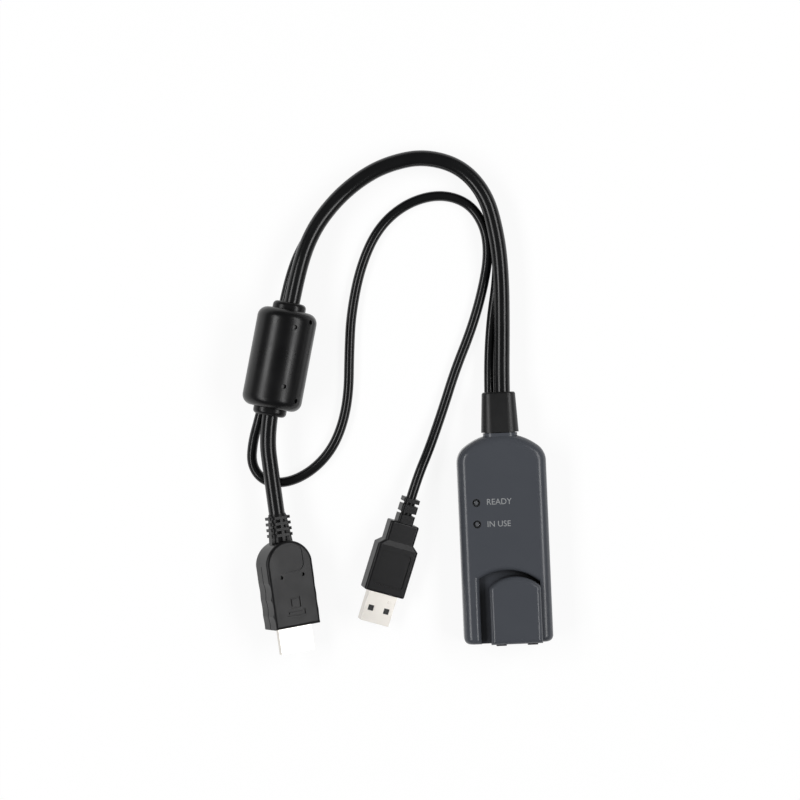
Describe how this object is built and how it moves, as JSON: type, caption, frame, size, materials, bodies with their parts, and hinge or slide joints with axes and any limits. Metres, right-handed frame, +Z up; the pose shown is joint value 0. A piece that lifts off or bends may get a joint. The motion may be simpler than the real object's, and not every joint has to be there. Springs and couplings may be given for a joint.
{
  "type": "kvm dongle",
  "caption": "Flat arched plastic housing with a hooded network socket at one end and a boot with captive video and data cables at the other, joined by a ferrite.",
  "frame": {"origin": "bottom centre of the housing with its boot and socket, on the surface that the part lies on", "axes": "+Y along the housing from the socket to the cables, +Z up out of the flat top, +X to the right"},
  "size_m": [0.1194, 0.1984, 0.0238],
  "materials": {
    "housing_plastic": "moulded, fine matt texture",
    "socket_plastic": "moulded, smooth",
    "boot_rubber": "moulded, matt",
    "cable_jacket": "extruded, glossy",
    "sleeve_plastic": "moulded, satin",
    "grip_plastic": "moulded, satin",
    "plated_steel": "bright nickel plated",
    "can_steel": "dull tin plated",
    "lens": "clear moulded light pipe",
    "lamp": "white lamp body",
    "board_laminate": "green solder mask",
    "chip_plastic": "moulded",
    "contact_metal": "gold plated",
    "screw_steel": "zinc plated",
    "capacitor_metal": "drawn can",
    "ferrite": "sintered, dull",
    "insulator_plastic": "moulded",
    "core_wire": "wire insulation"
  },
  "bodies": {
    "root": {"active_lamp": "lamp", "active_light_pipe": "lens", "cable_boot": "boot_rubber", "capacitor_front": "capacitor_metal", "capacitor_rear": "capacitor_metal", "circuit_board": "board_laminate", "crystal_can": "can_steel", "data_cable": "cable_jacket", "data_controller": "chip_plastic", "data_cores": "core_wire", "data_header": "insulator_plastic", "data_plug_can": "can_steel", "data_plug_contacts": "contact_metal", "data_plug_grip": "grip_plastic", "data_plug_insulator": "insulator_plastic", "data_plug_shell": "plated_steel", "ferrite_core": "ferrite", "ferrite_sleeve": "sleeve_plastic", "housing_screw_1": "screw_steel", "housing_screw_2": "screw_steel", "housing_screw_3": "screw_steel", "housing_screw_4": "screw_steel", "jack_contacts": "contact_metal", "lower_housing": "housing_plastic", "memory_chip": "chip_plastic", "network_jack": "socket_plastic", "network_transformer": "chip_plastic", "power_inductor": "chip_plastic", "power_lamp": "lamp", "power_light_pipe": "lens", "upper_housing": "housing_plastic", "video_cable": "cable_jacket", "video_cores": "core_wire", "video_header": "insulator_plastic", "video_plug_can": "can_steel", "video_plug_contacts": "contact_metal", "video_plug_grip": "grip_plastic", "video_plug_insulator": "insulator_plastic", "video_plug_shell": "plated_steel", "video_processor": "chip_plastic"}
  },
  "joints": []
}
